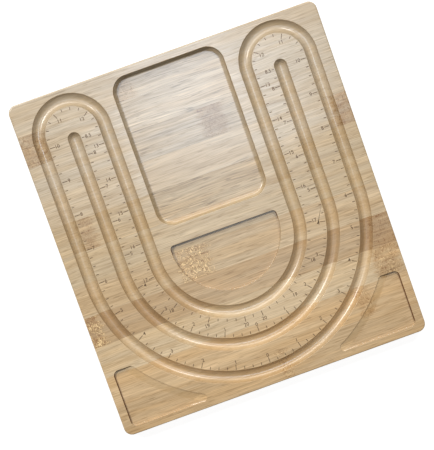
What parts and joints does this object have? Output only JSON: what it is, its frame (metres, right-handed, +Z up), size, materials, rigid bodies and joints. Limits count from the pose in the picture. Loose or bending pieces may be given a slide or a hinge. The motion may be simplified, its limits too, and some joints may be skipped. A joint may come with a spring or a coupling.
{
  "type": "bead design board",
  "caption": "Flat bamboo bead design board with concentric U-shaped bead channels beside engraved inch scales, a deep rectangular tray, a half-round tray and shallow corner trays.",
  "frame": {"origin": "centre of the underside, in the plane that the board rests on", "axes": "+X along the bamboo strips to the right, +Y across the strips towards the arched ends of the channels, +Z up out of the routed face"},
  "size_m": [0.23, 0.25, 0.015],
  "materials": {
    "top_bamboo": "satin lacquered bamboo, grain along X, light tan with honey and brown knuckle patches",
    "core_bamboo": "satin lacquered bamboo, grain along X, slightly greyer than the face",
    "base_bamboo": "satin lacquered bamboo, grain along X",
    "burnt_marks": "matt brown laser-burnt bamboo, in the engraved scales"
  },
  "bodies": {
    "root": {"base_strip_01": "base_bamboo", "base_strip_02": "base_bamboo", "base_strip_03": "base_bamboo", "base_strip_04": "base_bamboo", "base_strip_05": "base_bamboo", "base_strip_06": "base_bamboo", "base_strip_07": "base_bamboo", "base_strip_08": "base_bamboo", "base_strip_09": "base_bamboo", "base_strip_10": "base_bamboo", "base_strip_11": "base_bamboo", "core_strip_01": "core_bamboo", "core_strip_02": "core_bamboo", "core_strip_03": "core_bamboo", "core_strip_04": "core_bamboo", "core_strip_05": "core_bamboo", "core_strip_06": "core_bamboo", "core_strip_07": "core_bamboo", "core_strip_08": "core_bamboo", "core_strip_09": "core_bamboo", "core_strip_10": "core_bamboo", "core_strip_11": "core_bamboo", "top_strip_01": "top_bamboo", "top_strip_02_left": "top_bamboo", "top_strip_02_right": "top_bamboo", "top_strip_03_left": "top_bamboo", "top_strip_03_right": "top_bamboo", "top_strip_04_left": "top_bamboo", "top_strip_04_right": "top_bamboo", "top_strip_05_left": "top_bamboo", "top_strip_05_right": "top_bamboo", "top_strip_06": "top_bamboo", "top_strip_07": "top_bamboo", "top_strip_08": "top_bamboo", "top_strip_09": "top_bamboo", "top_strip_10": "top_bamboo", "top_strip_11": "top_bamboo"}
  },
  "joints": []
}
